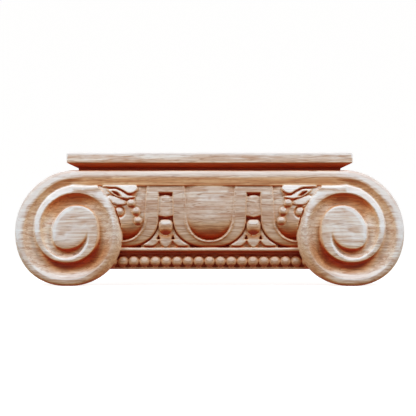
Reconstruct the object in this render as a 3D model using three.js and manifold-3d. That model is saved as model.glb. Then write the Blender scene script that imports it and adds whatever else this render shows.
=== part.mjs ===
// A carved wooden Ionic pilaster capital with a flat back, made from one block.
// Millimetres, +Z up. The front faces -Y, and the width runs along X.
import * as THREE from 'three';
import { mergeVertices } from 'three/addons/utils/BufferGeometryUtils.js';
import Module from 'manifold-3d';

const wasm = await Module();
wasm.setup();

// Plan: the neck fits the pilaster shaft, and the scrolls hang past its sides
const NECK_WIDTH = 124.6;
const NECK_DEPTH = 19;
const EYE_PAST_NECK = 13.1;
const SCROLL_RADIUS = 30.6;
const ABACUS_PAST_EYE = 2.25;
const ABACUS_DEPTH = 28;
const SCROLL_DEPTH = 26.6;

// Levels of the mouldings between the scrolls, from the neck up
const SCROLL_DROP = 9;
const NECK_FILLET = 1.35;
const BEAD_ROW = 5.85;
const BEAD_GROUND_SET_BACK = 0.8;
const BEAD_COVE = 2.4;
const HALF_ROUND = 2.5;
const HALF_ROUND_OUT = 1.4;
const HALF_ROUND_FACETS = 4;
const CHANNEL_WIDTH = 4.9;
const BAND_FILLET = 3.6;
const ABACUS_NECK = 1.2;
const ABACUS_SLOPE = 2.9;
const ABACUS_FASCIA = 5.4;
const ABACUS_INSET = 6.1;
const ABACUS_COVE = [[0.2, 0.8], [0.55, 0.42]];

// Scroll: radii every eighth of a turn from straight up, as shares of SCROLL_RADIUS
const RIM_SHARES = [1.088, 1.02, 1, 1.03, 0.974, 0.959, 0.913, 0.913, 0.93];
const WALL_SHARES = [
  0.826, 0.726, 0.67, 0.636, 0.58, 0.542, 0.504, 0.534,
  0.464, 0.371, 0.353, 0.382, 0.327, 0.298, 0.288,
];
const CREST_SHARES = [
  0.942, 0.844, 0.853, 0.91, 0.824, 0.744, 0.739, 0.732,
  0.67, 0.6, 0.54, 0.527, 0.473, 0.366, 0.294,
];
const SHARES_PER_TURN = 8;
const SCROLL_STEPS_PER_SHARE = 4;
const RIM_STEPS_PER_SHARE = 5;
const RIM_LAST_SHARE = 7.4;
const SCROLL_FOOT_CUT = 0.1;
const CHANNEL_DEPTH = 3.1;
const CHANNEL_STEEPEST = 0.62;
const COVE_STEPS = 3;
const CHANNEL_STRAIGHT_END = 9;
const SCROLL_EDGE_ROUND = 1.3;

// Echinus: a bulging face with eggs in shells, and a dart between each two
const ECHINUS_BULGE = 3.8;
const ECHINUS_FOOT_OUT = 1.4;
const ECHINUS_FACETS = 8;
const ECHINUS_CROWDING = 1.6;
const EGG_BAYS = 2.6;
const EGG_TOP_HALF = 13.9;
const EGG_HALF = 12.4;
const EGG_ROUND_HEIGHT = 13.1;
const EGG_ABOVE_FOOT = 3.8;
const EGG_RISE = 0.8;
const EGG_SIDE_DROP = 1.7;
const EGG_END_DROP = 5;
const EGG_FULLNESS = 2.1;
const EGG_SIDE_CURVE = 2.4;
const EGG_RINGS = [1, 0.93, 0.78, 0.55, 0.28];
const SHELL_HALF = 19.9;
const SHELL_ROUND_HEIGHT = 17.2;
const SHELL_FLARE = 0.7;
const SHELL_SINK = 0.3;
const EGG_BITE = 0.25;
const SHELL_FULLNESS = 2.3;
const U_STEPS = 9;
const SHELL_RIM = 1.3;
const SHELL_RIM_PROUD = 0.4;
const DART_RECESS = 3;
const DART_SET_BACK = 0.4;
const DART_SHOULDER = 1.3;
const DART_CHAMFER = 0.8;
const DART_BAR_LEVEL = 0.8;
const DROP_LEVEL = 0.4;
const DROP_SIDES = 10;
const DART_TOP_GAP = 3.9;
const DART_BAR_LENGTH = 12.1;
const DART_BAR_TOP = 6.5;
const DART_BAR_FOOT = 7.6;
const DART_BALL_WIDTH = 8.2;
const DART_BALL_LENGTH = 8.8;
const DART_BALL_GAP = 2.4;
const DART_BALL_PROFILE = [
  [0, 0], [0.55, 0.03], [0.93, 0.2], [1, 0.38], [0.86, 0.62], [0.5, 0.9], [0, 1],
];
const DART_FOOT_HALF = 13.4;
const DART_FOOT_TOP = 8.2;
const DART_FOOT_SHOULDER = [3.6, 7.8];
const DART_FOOT_BEND = [6.4, 2.2];
const DART_FOOT_TIP = 0.5;
const DART_FOOT_UNDER = [8, -0.3];
const DART_FOOT_NOTCH = [4, 2.9];
const DART_FOOT_MIDDLE = [2.1, 0.2];
const DART_FOOT_SET_BACK = 1;
const DART_FOOT_STEPS = 4;

// Bead row and corner leaves
const BEAD_COUNT = 21;
const BEAD_SIDES = 8;
const BEAD_RINGS = 6;
const BEAD_SET_BACK = 0.5;
const BERRY_RADIUS = 2.3;
const BERRY_PROUD = 0.1;
const BERRY_PLACES = [[32.4, 15.5], [35, 11.1], [36.1, 5.9]];
const CURL_RADIUS = 3.5;
const CURL_PLACE = [25.2, 11];
const CURL_PROUD = 0.9;
const LEAF_BEVEL = 0.55;
const LEAF_STEPS = 12;
const LEAVES = [
  { stem: [18, 22.2], tip: [35.6, 22.6], width: 4.4, proud: 1.6 },
  { stem: [17, 20.8], tip: [34.4, 18.4], width: 4.6, proud: 1.3 },
  { stem: [20, 18], tip: [30.6, 14.4], width: 5.2, proud: 1 },
];
const LEAF_SIDE = [[0.45, 1], [0.9, 0.7]];
const LEAF_OTHER_SIDE = [[0.85, -0.8], [0.4, -1]];

const EYE_X = NECK_WIDTH / 2 + EYE_PAST_NECK;
const EYE_Z = RIM_SHARES[4] * SCROLL_RADIUS - SCROLL_FOOT_CUT;
const BACK_Y = ABACUS_DEPTH / 2;
const BEAD_TOP_Z = SCROLL_DROP + NECK_FILLET + BEAD_ROW;
const HALF_ROUND_Z = BEAD_TOP_Z + BEAD_COVE;
const ECHINUS_Z = HALF_ROUND_Z + HALF_ROUND;
const BAND_TOP_Z = EYE_Z + RIM_SHARES[0] * SCROLL_RADIUS;
const CHANNEL_TOP_Z = BAND_TOP_Z - BAND_FILLET;
const CHANNEL_FOOT_Z = CHANNEL_TOP_Z - CHANNEL_WIDTH;
const ECHINUS_HEIGHT = CHANNEL_FOOT_Z - ECHINUS_Z;
const SLOPE_Z = BAND_TOP_Z + ABACUS_NECK;
const FASCIA_Z = SLOPE_Z + ABACUS_SLOPE;
const TOP_Z = FASCIA_Z + ABACUS_FASCIA;
const EGG_PITCH = NECK_WIDTH / EGG_BAYS;
const BURIED = 1;
const ABOVE = 4;
const EGG_FOOT_Z = ECHINUS_Z + EGG_ABOVE_FOOT;
const CARVED_TOP_Z = CHANNEL_FOOT_Z + BURIED;
const DEEP = NECK_DEPTH / 2;
const POINT_GRID = 0.005;

// A closed geometry as a solid, with only its positions kept
function solid(geometry) {
  const bare = geometry.index ? geometry.toNonIndexed() : geometry.clone();
  bare.deleteAttribute('normal');
  bare.deleteAttribute('uv');
  const merged = mergeVertices(bare, 1e-4);
  return new wasm.Manifold(new wasm.Mesh({
    numProp: 3,
    vertProperties: new Float32Array(merged.attributes.position.array),
    triVerts: new Uint32Array(merged.index.array),
  }));
}

function join(parts) {
  return parts.reduce((whole, part) => whole.add(part));
}

// Front of the relief at a height above the back plane
function frontY(height) {
  return BACK_Y - height;
}

// A solid through closed rings that all have the same number of points
function loft(rings) {
  const count = rings[0].length;
  const positions = rings.flat().flatMap((point) => point.toArray());
  const index = [];
  for (let k = 0; k + 1 < rings.length; k += 1) {
    for (let i = 0; i < count; i += 1) {
      const a = k * count + i;
      const b = k * count + (i + 1) % count;
      index.push(a, b, b + count, a, b + count, a + count);
    }
  }
  const last = (rings.length - 1) * count;
  for (let i = 1; i + 1 < count; i += 1) {
    index.push(0, i + 1, i);
    index.push(last, last + i, last + i + 1);
  }
  const geometry = new THREE.BufferGeometry();
  geometry.setAttribute('position', new THREE.Float32BufferAttribute(positions, 3));
  geometry.setIndex(index);
  const made = solid(geometry);
  if (made.volume() > 0) return made;
  geometry.setIndex(index.reverse());
  return solid(geometry);
}

// An outline in the plane of the front, cut through from one height to another
function board(points, low, high, bevel = 0) {
  const shape = new THREE.Shape(points);
  const geometry = new THREE.ExtrudeGeometry(shape, {
    depth: high - low - (bevel ? 2 * bevel : 0),
    bevelEnabled: bevel > 0,
    bevelThickness: bevel,
    bevelSize: bevel,
    bevelOffset: -bevel,
    bevelSegments: 1,
  });
  geometry.translate(0, 0, low + bevel);
  geometry.rotateX(Math.PI / 2);
  geometry.translate(0, BACK_Y, 0);
  return solid(geometry);
}

// A moulding profile of [height, z] points, run along X between two ends
function run(profile, left, right) {
  const shape = new THREE.Shape(profile.map(([height, z]) => new THREE.Vector2(-height, z)));
  const geometry = new THREE.ExtrudeGeometry(shape, { depth: right - left, bevelEnabled: false });
  geometry.applyMatrix4(new THREE.Matrix4().set(
    0, 0, 1, left,
    1, 0, 0, BACK_Y,
    0, 1, 0, 0,
    0, 0, 0, 1,
  ));
  return solid(geometry);
}

function block(x0, x1, z0, z1, low, high) {
  const geometry = new THREE.BoxGeometry(x1 - x0, high - low, z1 - z0);
  geometry.translate((x0 + x1) / 2, frontY((low + high) / 2), (z0 + z1) / 2);
  return solid(geometry);
}

function ball(x, z, height, radius) {
  const geometry = new THREE.SphereGeometry(radius, BEAD_SIDES, BEAD_RINGS);
  geometry.rotateX(Math.PI / 2);
  geometry.translate(x, frontY(height), z);
  return solid(geometry);
}

// Smooth value between the shares at a place counted in eighths of a turn
function shareAt(shares, place) {
  const i = Math.min(Math.floor(place), shares.length - 2);
  const t = place - i;
  const p0 = shares[Math.max(i - 1, 0)];
  const p1 = shares[i];
  const p2 = shares[i + 1];
  const p3 = shares[Math.min(i + 2, shares.length - 1)];
  const bend = 2 * p0 - 5 * p1 + 4 * p2 - p3 + (3 * p1 - p0 - 3 * p2 + p3) * t;
  return p1 + 0.5 * t * (p2 - p0 + t * bend);
}

// Point of the left scroll, at a radius and a place in eighths of a turn from the top
function onScroll(radius, place) {
  const angle = (place / SHARES_PER_TURN) * 2 * Math.PI;
  return new THREE.Vector2(
    -EYE_X - radius * Math.sin(angle),
    EYE_Z + radius * Math.cos(angle),
  );
}

function mirrorAcross(points) {
  const other = points.map((point) => new THREE.Vector2(-point.x, point.y)).reverse();
  return points.concat(other);
}

// The band and both scrolls as one board, before the channel is cut
function scrollBoard() {
  const left = [];
  const steps = Math.round(RIM_LAST_SHARE * RIM_STEPS_PER_SHARE);
  for (let i = 0; i <= steps; i += 1) {
    const place = (i / steps) * RIM_LAST_SHARE;
    const point = onScroll(shareAt(RIM_SHARES, place) * SCROLL_RADIUS, place);
    if (point.y < CHANNEL_FOOT_Z || place < SHARES_PER_TURN / 2) left.push(point);
  }
  left.push(new THREE.Vector2(left[left.length - 1].x, CHANNEL_FOOT_Z));
  const whole = board(mirrorAcross(left), -SCROLL_EDGE_ROUND, SCROLL_DEPTH, SCROLL_EDGE_ROUND);
  const reach = EYE_X + 2 * SCROLL_RADIUS;
  const behind = block(-reach, reach, -ABOVE, TOP_Z, -2 * SCROLL_EDGE_ROUND, 0);
  const floor = block(-reach, reach, -2 * SCROLL_RADIUS, 0, -ABOVE, 2 * SCROLL_DEPTH);
  return whole.subtract(behind).subtract(floor);
}

// One station of the channel: a steep inner wall, and a cove that rises to the crest
function channelRing(wall, crest) {
  const depth = Math.min(CHANNEL_DEPTH, wall.distanceTo(crest) * CHANNEL_STEEPEST);
  const at = (t, height) => new THREE.Vector3(
    wall.x + (crest.x - wall.x) * t,
    frontY(height),
    wall.y + (crest.y - wall.y) * t,
  );
  const ring = [at(0, SCROLL_DEPTH + ABOVE)];
  for (let i = 0; i < COVE_STEPS; i += 1) {
    const t = i / COVE_STEPS;
    ring.push(at(t, SCROLL_DEPTH - depth * (1 - t * t)));
  }
  ring.push(at(1, SCROLL_DEPTH), at(1, SCROLL_DEPTH + ABOVE));
  return ring;
}

// The channel of one side, from the middle of the band to its end beside the eye
function channelCutter() {
  const rings = [];
  for (const x of [BURIED, -EYE_X / 2, -EYE_X + CHANNEL_STRAIGHT_END]) {
    rings.push(channelRing(
      new THREE.Vector2(x, CHANNEL_FOOT_Z),
      new THREE.Vector2(x, CHANNEL_TOP_Z),
    ));
  }
  const last = WALL_SHARES.length - 1;
  const steps = last * SCROLL_STEPS_PER_SHARE;
  for (let i = 0; i <= steps; i += 1) {
    const place = (i / steps) * last;
    rings.push(channelRing(
      onScroll(shareAt(WALL_SHARES, place) * SCROLL_RADIUS, place),
      onScroll(shareAt(CREST_SHARES, place) * SCROLL_RADIUS, place),
    ));
  }
  return loft(rings);
}

function mirrored(part) {
  return part.mirror([1, 0, 0]);
}

// Height of the echinus face above the back, at a share of its own height
function echinusHeight(share) {
  const foot = NECK_DEPTH + ECHINUS_FOOT_OUT;
  const down = 1 - Math.min(Math.max(share, 0), 1);
  return foot + ECHINUS_BULGE * Math.sqrt(Math.max(1 - down * down, 0));
}

// Profile of the echinus face, set forward or back, closed at the back plane
function echinusProfile(offset) {
  const foot = ECHINUS_Z - SHELL_SINK;
  const profile = [[-BURIED, foot], [echinusHeight(0) + offset, foot]];
  for (let i = 0; i <= ECHINUS_FACETS; i += 1) {
    const share = (i / ECHINUS_FACETS) ** ECHINUS_CROWDING;
    profile.push([echinusHeight(share) + offset, ECHINUS_Z + share * ECHINUS_HEIGHT]);
  }
  profile.push([echinusHeight(1) + offset, CARVED_TOP_Z], [-BURIED, CARVED_TOP_Z]);
  return profile;
}

function echinusRun(offset) {
  return run(echinusProfile(offset), -EYE_X, EYE_X);
}

// The core: neck, bead cove, half-round, sunk echinus ground and the part behind the band
function core() {
  const ground = NECK_DEPTH - BEAD_GROUND_SET_BACK;
  const roundMiddle = HALF_ROUND_Z + HALF_ROUND / 2;
  const profile = [
    [0, SCROLL_DROP],
    [NECK_DEPTH, SCROLL_DROP],
    [NECK_DEPTH, SCROLL_DROP + NECK_FILLET],
    [ground, SCROLL_DROP + NECK_FILLET],
    [ground, HALF_ROUND_Z],
  ];
  for (let i = 0; i <= HALF_ROUND_FACETS; i += 1) {
    const turn = Math.PI * (i / HALF_ROUND_FACETS - 0.5);
    profile.push([
      NECK_DEPTH + HALF_ROUND_OUT + (HALF_ROUND / 2) * Math.cos(turn),
      roundMiddle + (HALF_ROUND / 2) * Math.sin(turn),
    ]);
  }
  const bottom = profile.concat([[0, ECHINUS_Z]]);
  const top = [
    [0, ECHINUS_Z - BURIED],
    ...echinusProfile(-DART_RECESS).slice(2, -2),
    [ABACUS_DEPTH - ABACUS_INSET, CHANNEL_FOOT_Z],
    [ABACUS_DEPTH - ABACUS_INSET, BAND_TOP_Z],
    [0, BAND_TOP_Z],
  ];
  return run(bottom, -NECK_WIDTH / 2, NECK_WIDTH / 2)
    .add(run(top, -NECK_WIDTH / 2, NECK_WIDTH / 2));
}

// Rectangles stacked up the abacus, each set in from the fascia on its three shown sides
function abacus() {
  const half = EYE_X + ABACUS_PAST_EYE;
  const levels = [
    [BAND_TOP_Z - BURIED, ABACUS_INSET],
    [SLOPE_Z, ABACUS_INSET],
    ...ABACUS_COVE.map(([up, inset]) => [SLOPE_Z + ABACUS_SLOPE * up, ABACUS_INSET * inset]),
    [FASCIA_Z, 0],
    [TOP_Z, 0],
  ];
  return loft(levels.map(([z, inset]) => [
    new THREE.Vector3(-half + inset, BACK_Y, z),
    new THREE.Vector3(half - inset, BACK_Y, z),
    new THREE.Vector3(half - inset, frontY(ABACUS_DEPTH - inset), z),
    new THREE.Vector3(-half + inset, frontY(ABACUS_DEPTH - inset), z),
  ]));
}

// Half of a U outline: straight flanks over a rounded end, as [x, z] from the foot up
function uCurve(topHalf, half, roundHeight, footZ, topZ, fullness) {
  const points = [];
  for (let i = 0; i <= U_STEPS; i += 1) {
    const angle = (i / U_STEPS) * (Math.PI / 2);
    points.push(new THREE.Vector2(
      half * Math.sin(angle) ** (2 / fullness),
      footZ + roundHeight * (1 - Math.cos(angle) ** (2 / fullness)),
    ));
  }
  points.push(new THREE.Vector2(topHalf, topZ));
  return points;
}

function uOutline(curve, x) {
  const right = curve.map((point) => new THREE.Vector2(x + point.x, point.y));
  const left = curve.slice(1).map((point) => new THREE.Vector2(x - point.x, point.y));
  return right.concat(left.reverse());
}

function shellCurve() {
  const top = SHELL_HALF + SHELL_FLARE;
  const foot = ECHINUS_Z - SHELL_SINK;
  return uCurve(top, SHELL_HALF, SHELL_ROUND_HEIGHT, foot, CARVED_TOP_Z, SHELL_FULLNESS);
}

function eggCurve(grown) {
  return uCurve(
    EGG_TOP_HALF + grown,
    EGG_HALF + grown,
    EGG_ROUND_HEIGHT + grown,
    EGG_FOOT_Z - grown,
    CARVED_TOP_Z,
    EGG_FULLNESS,
  );
}

// One egg: rings of its own outline that shrink towards its axis as they come forward
function egg(x) {
  const axisZ = EGG_FOOT_Z + EGG_ROUND_HEIGHT;
  const crown = echinusHeight(1) + EGG_RISE;
  const outline = uOutline(eggCurve(EGG_BITE), 0);
  const rings = [outline.map((point) => new THREE.Vector3(x + point.x, frontY(DEEP), point.y))];
  for (const share of EGG_RINGS) {
    rings.push(outline.map((point) => {
      const low = point.y < axisZ;
      const z = low ? axisZ + (point.y - axisZ) * share : point.y;
      const lean = low ? Math.min((axisZ - point.y) / EGG_ROUND_HEIGHT, 1) : 0;
      const drop = EGG_SIDE_DROP + (EGG_END_DROP - EGG_SIDE_DROP) * lean * lean;
      const height = crown - drop * share ** EGG_SIDE_CURVE;
      return new THREE.Vector3(x + point.x * share, frontY(height), z);
    }));
  }
  return loft(rings);
}

// Shells, their thin raised rims and the eggs in them
function eggsInShells() {
  const face = echinusRun(0);
  const rimFace = echinusRun(SHELL_RIM_PROUD);
  const places = [-EGG_PITCH, 0, EGG_PITCH];
  const boards = (curve, front) => places.map((x) => board(uOutline(curve, x), DEEP, front));
  const stripFoot = CHANNEL_FOOT_Z - DART_TOP_GAP;
  const strip = block(-EYE_X, EYE_X, stripFoot, CARVED_TOP_Z, DEEP, ABACUS_DEPTH);
  const shells = join([strip, ...boards(shellCurve(), ABACUS_DEPTH)]);
  const rims = join(boards(eggCurve(SHELL_RIM), ABACUS_DEPTH));
  const pockets = join(boards(eggCurve(0), ABACUS_DEPTH + ABOVE));
  return shells.intersect(face)
    .add(rims.intersect(rimFace))
    .subtract(pockets)
    .add(join(places.map(egg)));
}

// Section of the dart's bar: a flat front with sloped shoulders, sunk in the ground
function barRing(x, reach, z, ground, front) {
  const shoulder = Math.max(front - DART_SHOULDER, ground);
  const buried = ground - BURIED;
  const half = [[0.5, front], [1, shoulder], [1, buried]];
  const other = half.map(([side, height]) => [-side, height]).reverse();
  return other.concat(half)
    .map(([side, height]) => new THREE.Vector3(x + side * reach, frontY(height), z));
}

// One dart: a tapered bar, a drop under it and a foot with three lobes
function dart(x) {
  const top = CHANNEL_FOOT_Z - DART_TOP_GAP;
  const foot = top - DART_BAR_LENGTH;
  const ground = echinusHeight(DART_BAR_LEVEL) - DART_RECESS;
  const front = echinusHeight(DART_BAR_LEVEL) - DART_SET_BACK;
  const low = ground + DART_SHOULDER / 2;
  const bar = loft([
    barRing(x, DART_BAR_TOP / 2 - DART_CHAMFER, top - DART_SET_BACK, ground, low),
    barRing(x, DART_BAR_TOP / 2, top - DART_SHOULDER, ground, front),
    barRing(x, DART_BAR_FOOT / 2, foot, ground, front),
    barRing(x, DART_BAR_FOOT / 2 - DART_CHAMFER, foot - DART_CHAMFER, ground, low),
  ]);
  const lathe = new THREE.LatheGeometry(
    DART_BALL_PROFILE.map(([out, down]) => new THREE.Vector2(
      out * DART_BALL_WIDTH / 2,
      down * DART_BALL_LENGTH,
    )),
    DROP_SIDES,
  );
  lathe.rotateX(-Math.PI / 2);
  lathe.translate(x, frontY(echinusHeight(DROP_LEVEL) - DART_RECESS), foot - DART_BALL_GAP);
  return bar.add(solid(lathe)).add(dartFoot(x));
}

// Three lobes: a rounded one under the drop, and one that flares out on each side
function dartFoot(x) {
  const lobe = new THREE.Shape();
  lobe.moveTo(0, DART_FOOT_TOP);
  lobe.lineTo(...DART_FOOT_SHOULDER);
  lobe.quadraticCurveTo(...DART_FOOT_BEND, DART_FOOT_HALF, DART_FOOT_TIP);
  lobe.quadraticCurveTo(...DART_FOOT_UNDER, ...DART_FOOT_NOTCH);
  lobe.quadraticCurveTo(...DART_FOOT_MIDDLE, 0, SHELL_SINK);
  const right = lobe.getPoints(DART_FOOT_STEPS);
  const left = right.slice(1, -1).map((point) => new THREE.Vector2(-point.x, point.y));
  const outline = right.concat(left.reverse())
    .map((point) => new THREE.Vector2(x + point.x, ECHINUS_Z + point.y));
  return board(outline, DEEP, ABACUS_DEPTH).intersect(echinusRun(-DART_FOOT_SET_BACK));
}

function beads() {
  const pitch = NECK_WIDTH / BEAD_COUNT;
  const z = SCROLL_DROP + NECK_FILLET + BEAD_ROW / 2;
  const places = Array.from({ length: BEAD_COUNT }, (_, i) => (i - (BEAD_COUNT - 1) / 2) * pitch);
  return join(places.map((x) => ball(x, z, NECK_DEPTH - BEAD_SET_BACK, BEAD_ROW / 2)));
}

// A leaf lobe from its stem to its tip, with its edges bevelled
function leaf({ stem, tip, width, proud }) {
  const from = cornerPlace(stem);
  const to = cornerPlace(tip);
  const along = new THREE.Vector2().subVectors(to, from);
  const across = new THREE.Vector2(-along.y, along.x).normalize().multiplyScalar(width / 2);
  const edge = ([share, side]) => from.clone().addScaledVector(along, share)
    .addScaledVector(across, side);
  const shape = new THREE.SplineCurve([
    from,
    ...LEAF_SIDE.map(edge),
    to,
    ...LEAF_OTHER_SIDE.map(edge),
    from,
  ]);
  const outline = shape.getPoints(LEAF_STEPS).slice(0, -1);
  return board(outline, DEEP, echinusHeight(1) + proud, LEAF_BEVEL);
}

// A place right of and above the left eye
function cornerPlace([right, up]) {
  return new THREE.Vector2(-EYE_X + right, EYE_Z + up);
}

// Leaves, a curl and three berries in the corner between the left scroll and the echinus
function cornerSpray() {
  const face = echinusHeight(1);
  const berries = BERRY_PLACES.map((spot) => {
    const { x, y } = cornerPlace(spot);
    return ball(x, y, face + BERRY_PROUD, BERRY_RADIUS);
  });
  const { x, y } = cornerPlace(CURL_PLACE);
  const circle = new THREE.EllipseCurve(x, y, CURL_RADIUS, CURL_RADIUS);
  const curl = circle.getPoints(LEAF_STEPS).slice(0, -1);
  return join([
    ...LEAVES.map(leaf),
    ...berries,
    board(curl, DEEP, face + CURL_PROUD, LEAF_BEVEL),
  ]);
}

// Where the shaft stands: behind the scroll fronts, as wide and as deep as the neck
function shaftSeat() {
  return block(-NECK_WIDTH / 2, NECK_WIDTH / 2, -ABOVE, SCROLL_DROP, -ABOVE, NECK_DEPTH);
}

function capital() {
  const cutter = channelCutter();
  const spray = cornerSpray();
  const front = join([
    core(),
    scrollBoard(),
    eggsInShells(),
    dart(-EGG_PITCH / 2),
    dart(EGG_PITCH / 2),
    beads(),
    spray,
    mirrored(spray),
  ]);
  return front
    .subtract(cutter)
    .subtract(mirrored(cutter))
    .subtract(shaftSeat())
    .add(abacus());
}

// The finished solid as a geometry, with its points on a fine grid, so that none nearly meet
function toGeometry(made) {
  const mesh = made.asOriginal().simplify(POINT_GRID).getMesh();
  const geometry = new THREE.BufferGeometry();
  const positions = new Float32Array((mesh.vertProperties.length / mesh.numProp) * 3);
  for (let i = 0; i < positions.length / 3; i += 1) {
    for (let axis = 0; axis < 3; axis += 1) {
      const value = mesh.vertProperties[i * mesh.numProp + axis];
      positions[i * 3 + axis] = Math.round(value / POINT_GRID) * POINT_GRID;
    }
  }
  geometry.setAttribute('position', new THREE.BufferAttribute(positions, 3));
  geometry.setIndex(new THREE.BufferAttribute(new Uint32Array(mesh.triVerts), 1));
  geometry.computeVertexNormals();
  return geometry;
}

const oak = new THREE.MeshStandardMaterial({ color: '#d8b793', roughness: 0.72, metalness: 0 });
const piece = new THREE.Mesh(toGeometry(capital()), oak);
piece.name = 'capital';

const group = new THREE.Group();
group.add(piece);

export default group;
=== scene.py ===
"""Looks of a carved wooden Ionic pilaster capital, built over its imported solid."""
import math

import bpy
import numpy as np
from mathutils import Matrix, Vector


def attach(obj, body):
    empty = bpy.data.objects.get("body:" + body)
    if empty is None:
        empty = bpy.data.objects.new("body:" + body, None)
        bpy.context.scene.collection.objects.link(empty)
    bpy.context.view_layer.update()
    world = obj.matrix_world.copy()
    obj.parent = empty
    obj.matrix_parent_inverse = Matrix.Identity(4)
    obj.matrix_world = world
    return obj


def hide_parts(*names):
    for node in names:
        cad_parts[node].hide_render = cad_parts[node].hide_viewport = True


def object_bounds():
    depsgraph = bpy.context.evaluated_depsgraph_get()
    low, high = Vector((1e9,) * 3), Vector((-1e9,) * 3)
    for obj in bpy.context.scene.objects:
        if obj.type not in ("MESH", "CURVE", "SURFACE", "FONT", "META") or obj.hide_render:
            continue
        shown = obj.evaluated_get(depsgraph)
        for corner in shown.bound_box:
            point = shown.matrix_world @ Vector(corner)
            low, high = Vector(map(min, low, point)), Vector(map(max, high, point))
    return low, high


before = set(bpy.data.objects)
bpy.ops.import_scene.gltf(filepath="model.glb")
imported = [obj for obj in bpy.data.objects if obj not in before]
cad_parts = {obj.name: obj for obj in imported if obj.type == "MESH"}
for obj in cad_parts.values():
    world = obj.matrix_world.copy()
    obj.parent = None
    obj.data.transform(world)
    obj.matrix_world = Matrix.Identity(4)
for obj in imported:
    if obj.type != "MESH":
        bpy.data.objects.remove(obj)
cad_low, cad_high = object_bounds()

# Sizes in millimetres, as in the solid: u runs along X, v up, t from the back plane forward
EYE_X, EYE_V = -75.4, 29.70
SCROLL_R = 30.6
SCROLL_T, ABACUS_T, NECK_T = 26.6, 28.0, 19.0
NECK_HALF, SEAT_V = 62.3, 9.0
HALF_ROUND_V, ECHINUS_V = 18.6, 21.1
CHANNEL_V, CREST_V, BAND_V = 54.5, 59.4, 63.0
SLOPE_V, FASCIA_V, TOP_V = 64.2, 67.1, 72.495
ABACUS_HALF, ABACUS_INSET = 77.65, 6.1
CORE_T = 21.9
EGG_PITCH = 47.92
BEADS, BEAD_R, BEAD_V = 21, 3.05, 13.275
KNOB_R = 2.5

# Radii of the scroll every eighth of a turn from straight up: its rim, and its channel's wall and crest
RIM = np.array([1.088, 1.02, 1, 1.03, 0.974, 0.959, 0.913, 0.913, 0.93]) * SCROLL_R
WALL = np.array([0.826, 0.726, 0.67, 0.636, 0.58, 0.542, 0.504, 0.534,
                 0.464, 0.371, 0.353, 0.382, 0.327, 0.298, 0.288]) * SCROLL_R
CREST = np.array([0.942, 0.844, 0.853, 0.91, 0.84, 0.79, 0.75, 0.732,
                  0.67, 0.6, 0.54, 0.527, 0.473, 0.366, 0.294]) * SCROLL_R
TURN = 8
RIM_END, CHANNEL_END = 7.4, 14

# Depth of the outer channel against its usual depth, at places along the turn
DEPTH_AT = [0, 0.6, 1.6, 2.6, 3.6, 4.2, 4.8, 5.4, 6.2, 6.9, 7.6, 8]
DEPTH = [0.8, 0.7, 0.5, 0.52, 1, 1.15, 1.15, 0.95, 0.65, 0.7, 1, 1]

# The grid that heights are worked out on, for the left half
STEP = 0.33
us = -np.arange(int(107.6 / STEP), -1, -1) * STEP
vs = np.arange(-1.3, 74.0, STEP)
ts = np.concatenate([[-1.6, 1.6, 4, 7, 10, 13, 15.5, 17], np.arange(17.6, 29.2, STEP)])
U, V = np.meshgrid(us, vs, indexing="ij")


def curve_at(values, place):
    """Catmull-Rom value of a list of radii at places counted in eighths of a turn."""
    n = len(values)
    i = np.clip(np.floor(place).astype(int), 0, n - 2)
    s = place - i
    p0, p1 = values[np.maximum(i - 1, 0)], values[i]
    p2, p3 = values[i + 1], values[np.minimum(i + 2, n - 1)]
    bend = 2 * p0 - 5 * p1 + 4 * p2 - p3 + (3 * p1 - p0 - 3 * p2 + p3) * s
    return p1 + 0.5 * s * (p2 - p0 + s * bend)


def spline(points, steps=8):
    """A closed smooth outline through points."""
    p = np.array(points, float)
    out = []
    for i in range(len(p)):
        a, b, c, d = p[i - 1], p[i], p[(i + 1) % len(p)], p[(i + 2) % len(p)]
        for s in np.arange(steps) / steps:
            out.append(b + 0.5 * s * (c - a + s * (2 * a - 5 * b + 4 * c - d + s * (3 * b - a - 3 * c + d))))
    return np.array(out)


def outline_distance(points, u=U, v=V):
    """Signed distance to a closed outline, negative inside."""
    p = np.array(points, float)
    best = np.full(u.shape, 1e9)
    inside = np.zeros(u.shape, bool)
    for (ax, ay), (bx, by) in zip(p, np.roll(p, -1, 0)):
        ex, ey = bx - ax, by - ay
        wx, wy = u - ax, v - ay
        s = np.clip((wx * ex + wy * ey) / max(ex * ex + ey * ey, 1e-12), 0, 1)
        best = np.minimum(best, (wx - ex * s) ** 2 + (wy - ey * s) ** 2)
        if ay != by:
            inside ^= ((ay > v) != (by > v)) & (u < ax + ex * (v - ay) / ey)
    return np.where(inside, -1, 1) * np.sqrt(best)


def ramp(x, a, b):
    """Smooth step from 0 at a to 1 at b."""
    s = np.clip((x - a) / (b - a), 0, 1)
    return s * s * (3 - 2 * s)


def smooth_max(a, b, r):
    """The larger of two fields, with a rounded meeting."""
    h = np.maximum(r - np.abs(a - b), 0) / r
    return np.maximum(a, b) + h * h * r * 0.25


def blur(field, radius):
    """Gaussian blur of a field on the grid, with a radius in millimetres."""
    n = int(math.ceil(3 * radius / STEP))
    k = np.exp(-0.5 * (np.arange(-n, n + 1) * STEP / radius) ** 2)
    k /= k.sum()
    for axis in (0, 1):
        pad = [(n, n) if a == axis else (0, 0) for a in (0, 1)]
        wide = np.pad(field, pad, mode="edge")
        size = field.shape[axis]
        field = sum(w * np.take(wide, np.arange(i, i + size), axis) for i, w in enumerate(k))
    return field


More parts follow.
